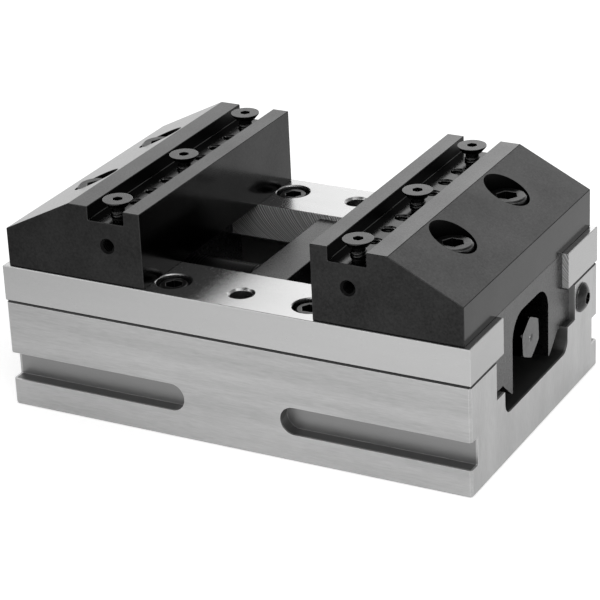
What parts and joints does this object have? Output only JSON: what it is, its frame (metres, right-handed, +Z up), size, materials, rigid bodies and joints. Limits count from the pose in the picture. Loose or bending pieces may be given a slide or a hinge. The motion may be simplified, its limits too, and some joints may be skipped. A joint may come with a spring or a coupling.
{
  "type": "self centering vise",
  "caption": "Self centering machine vise: two black jaws move together on ground rails, driven by one left and right hand leadscrew in a grooved steel base.",
  "frame": {"origin": "under the middle of the base, on its underside", "axes": "+X along the jaw travel, -Y towards the front, +Z up"},
  "size_m": [0.2558, 0.1524, 0.1142],
  "materials": {
    "base_steel": "ground and brushed, satin; milled in the channel and grooves",
    "ground_steel": "hardened and finely ground; milled towards the screw",
    "machined_steel": "black oxide over a machined surface, satin",
    "black_oxide_steel": "black oxide, satin",
    "black_screw_steel": "black oxide screw, lightly polished by use",
    "grip_screw_steel": "black oxide screw, satin",
    "end_screw_steel": "dark, satin",
    "screw_steel": "black oxide, turned, its end faces lighter",
    "hardened_steel": "ground",
    "bearing_steel": "machined"
  },
  "bodies": {
    "base": {"base": "base_steel", "centre_block": "machined_steel", "bearing_saddle": "bearing_steel", "saddle_screw": "black_screw_steel", "front_rail": "ground_steel", "rear_rail": "ground_steel", "block_screw_front": "black_screw_steel", "block_screw_rear": "black_screw_steel", "right_end_screw": "end_screw_steel", "left_end_screw": "end_screw_steel", "front_rail_screw_1": "black_screw_steel", "front_rail_screw_2": "black_screw_steel", "front_rail_screw_3": "black_screw_steel", "front_rail_screw_4": "black_screw_steel", "front_rail_dowel_left": "hardened_steel", "front_rail_dowel_right": "hardened_steel", "rear_rail_screw_1": "black_screw_steel", "rear_rail_screw_2": "black_screw_steel", "rear_rail_screw_3": "black_screw_steel", "rear_rail_screw_4": "black_screw_steel", "rear_rail_dowel_left": "hardened_steel", "rear_rail_dowel_right": "hardened_steel"},
    "left_slide": {"left_carrier": "machined_steel", "left_jaw": "black_oxide_steel", "left_jaw_key": "hardened_steel", "left_jaw_screw_front": "black_screw_steel", "left_jaw_screw_rear": "black_screw_steel", "left_grip_screw_front": "grip_screw_steel", "left_grip_screw_middle": "grip_screw_steel", "left_grip_screw_rear": "grip_screw_steel"},
    "right_slide": {"right_carrier": "machined_steel", "right_jaw": "black_oxide_steel", "right_jaw_key": "hardened_steel", "right_jaw_screw_front": "black_screw_steel", "right_jaw_screw_rear": "black_screw_steel", "right_grip_screw_front": "grip_screw_steel", "right_grip_screw_middle": "grip_screw_steel", "right_grip_screw_rear": "grip_screw_steel"},
    "leadscrew": {"leadscrew": "screw_steel"}
  },
  "joints": [
    {"name": "leadscrew_turn", "type": "hinge", "parent": "base", "child": "leadscrew", "pos_m": [0, 0, 0.0475], "axis": [1, 0, 0], "range_deg": [-8830, 0]},
    {"name": "right_jaw_slide", "type": "slide", "parent": "base", "child": "right_slide", "axis": [1, 0, 0], "range_m": [-0.0445, 0]},
    {"name": "left_jaw_slide", "type": "slide", "parent": "base", "child": "left_slide", "axis": [1, 0, 0], "range_m": [0, 0.0445]}
  ],
  "couplings": [
    {"joint": "leadscrew_turn", "follows": "right_jaw_slide", "rad_per_m": 3463.2},
    {"joint": "left_jaw_slide", "follows": "right_jaw_slide", "ratio": -1}
  ]
}
